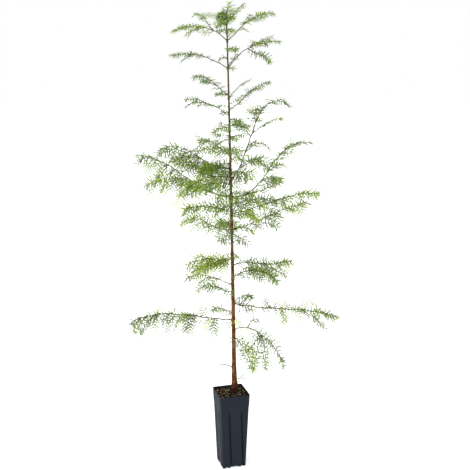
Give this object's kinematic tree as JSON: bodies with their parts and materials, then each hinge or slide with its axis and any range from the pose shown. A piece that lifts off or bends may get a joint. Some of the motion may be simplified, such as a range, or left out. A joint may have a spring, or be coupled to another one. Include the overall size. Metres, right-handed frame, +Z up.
{
  "type": "potted dawn redwood sapling",
  "caption": "Young dawn redwood with a slim straight trunk and sparse tiers of feathery boughs, growing in a tall square plastic nursery pot.",
  "frame": {"origin": "middle of the pot's flat underside, at the level it stands on", "axes": "+Z up the trunk; +X and +Y square to the pot's faces; the crown's broad side lies 16.5 degrees clockwise of the X axis, seen from above"},
  "size_m": [0.6475, 0.3664, 1.485],
  "materials": {
    "foliage": "soft flat needles, yellow-green at the tips to blue-green inside",
    "bark": "reddish-brown shredding bark, olive-brown on young shoots",
    "pot": "satin black moulded plastic",
    "potting_mix": "moist dark bark and peat mix"
  },
  "bodies": {
    "root": {"pot": "pot", "soil": "potting_mix", "trunk": "bark", "bough_steep_right": "bark", "bough_tier11_left": "bark", "bough_tier11_right": "bark", "bough_tier12_left": "bark", "bough_tier12_right": "bark", "bough_tier1_left": "bark", "bough_tier1_right": "bark", "bough_tier2_right": "bark", "bough_tier5_right": "bark", "bough_tier6_right": "bark", "bough_tier7_left": "bark", "bough_tier7_right": "bark", "bough_tier8_left_long": "bark", "foliage_steep_right_front": "foliage", "foliage_steep_right_inner": "foliage", "foliage_steep_right_side": "foliage", "foliage_steep_right_tip": "foliage", "foliage_tier10_left": "foliage", "foliage_tier10_right": "foliage", "foliage_tier11_left": "foliage", "foliage_tier11_right": "foliage", "foliage_tier11_right_fork": "foliage", "foliage_tier12_left": "foliage", "foliage_tier12_left_fork": "foliage", "foliage_tier12_right": "foliage", "foliage_tier1_back": "foliage", "foliage_tier1_front": "foliage", "foliage_tier1_left": "foliage", "foliage_tier1_right": "foliage", "foliage_tier2_back": "foliage", "foliage_tier2_right": "foliage", "foliage_tier3_front": "foliage", "foliage_tier3_left": "foliage", "foliage_tier3_right": "foliage", "foliage_tier4_back": "foliage", "foliage_tier4_left": "foliage", "foliage_tier4_right": "foliage", "foliage_tier5_back": "foliage", "foliage_tier5_left": "foliage", "foliage_tier5_right": "foliage", "foliage_tier6_back": "foliage", "foliage_tier6_front": "foliage", "foliage_tier6_left": "foliage", "foliage_tier6_right": "foliage", "foliage_tier7_back": "foliage", "foliage_tier7_front": "foliage", "foliage_tier7_left": "foliage", "foliage_tier7_left_front": "foliage", "foliage_tier7_right": "foliage", "foliage_tier8_back": "foliage", "foliage_tier8_left": "foliage", "foliage_tier8_left_long": "foliage", "foliage_tier8_right": "foliage", "foliage_tier9_left": "foliage", "foliage_tier9_right": "foliage", "foliage_tip": "foliage", "foliage_tip_left": "foliage"}
  },
  "joints": []
}
